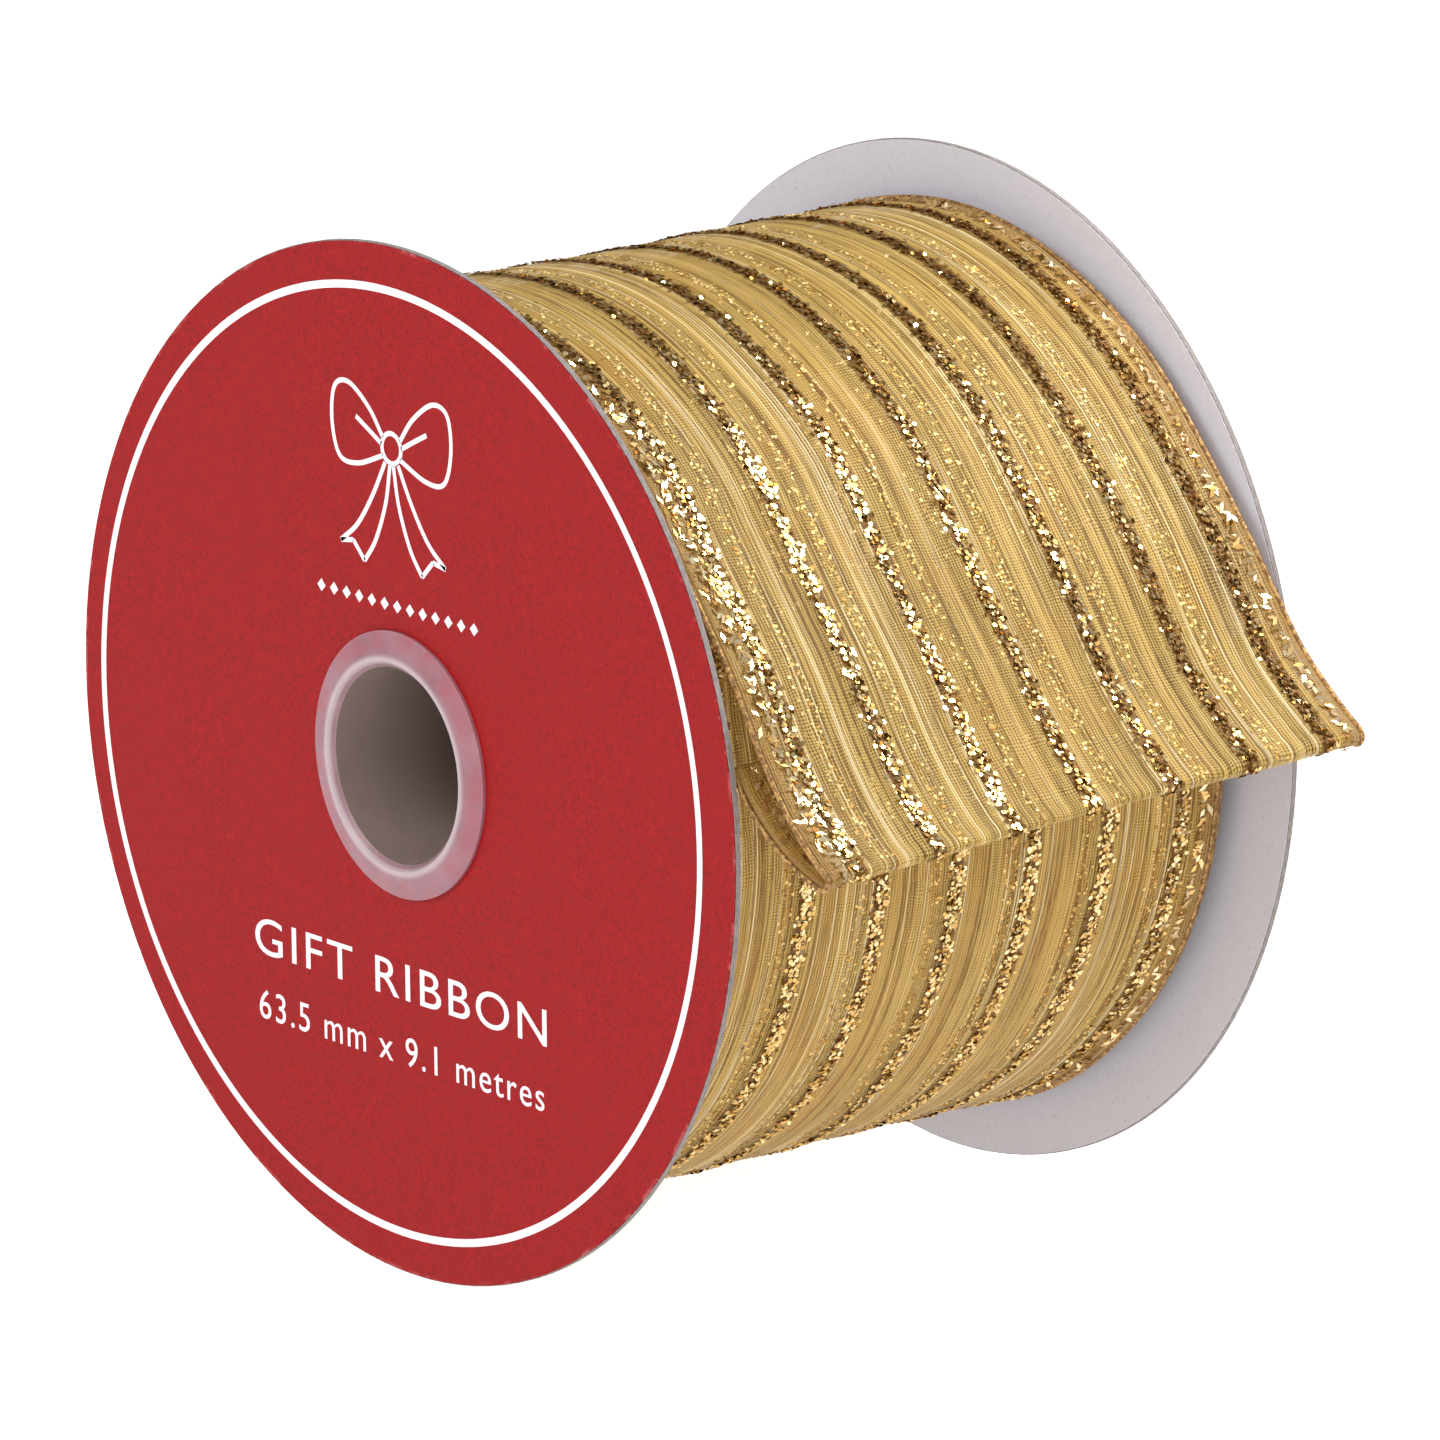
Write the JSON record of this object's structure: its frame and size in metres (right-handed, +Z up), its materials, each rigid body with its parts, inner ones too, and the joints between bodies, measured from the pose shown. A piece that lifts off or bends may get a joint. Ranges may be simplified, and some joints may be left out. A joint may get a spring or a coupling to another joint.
{
  "type": "ribbon spool",
  "caption": "Spool of sheer wired gift ribbon: a wound roll with a loose, liftable end between two round board discs on a hollow plastic hub.",
  "frame": {"origin": "on the hub's bore axis, midway between the two discs", "axes": "+Z up, +Y along the bore from the printed disc to the plain disc, +X the side where the free end of the ribbon leaves the roll"},
  "size_m": [0.1119, 0.0706, 0.1],
  "materials": {
    "printed_paper": "satin printed red paper",
    "grey_board": "matt grey board, cut edge visible",
    "pale_paper": "matt pale grey paper",
    "back_paper": "matt pale grey paper",
    "tube_board": "matt brown board",
    "clear_tape": "clear tape",
    "milky_plastic": "milky translucent moulded plastic",
    "sheer_ribbon": "sheer gold ribbon with glitter stripes",
    "wired_edge": "wire bound with gold tinsel"
  },
  "bodies": {
    "spool": {"front_label": "printed_paper", "front_board": "grey_board", "front_liner": "pale_paper", "rear_liner": "pale_paper", "rear_board": "grey_board", "rear_label": "back_paper", "core_tube": "tube_board", "core_tape": "clear_tape", "hub_front": "milky_plastic", "hub_rear": "milky_plastic", "ribbon_roll": "sheer_ribbon", "wire_front": "wired_edge", "wire_rear": "wired_edge"},
    "free_end": {"ribbon_tail": "sheer_ribbon", "tail_wire_front": "wired_edge", "tail_wire_rear": "wired_edge"}
  },
  "joints": [
    {"name": "tail_lift", "type": "hinge", "parent": "spool", "child": "free_end", "pos_m": [0.0345, 0, 0.032], "axis": [0, -1, 0], "range_deg": [-10, 80]}
  ]
}
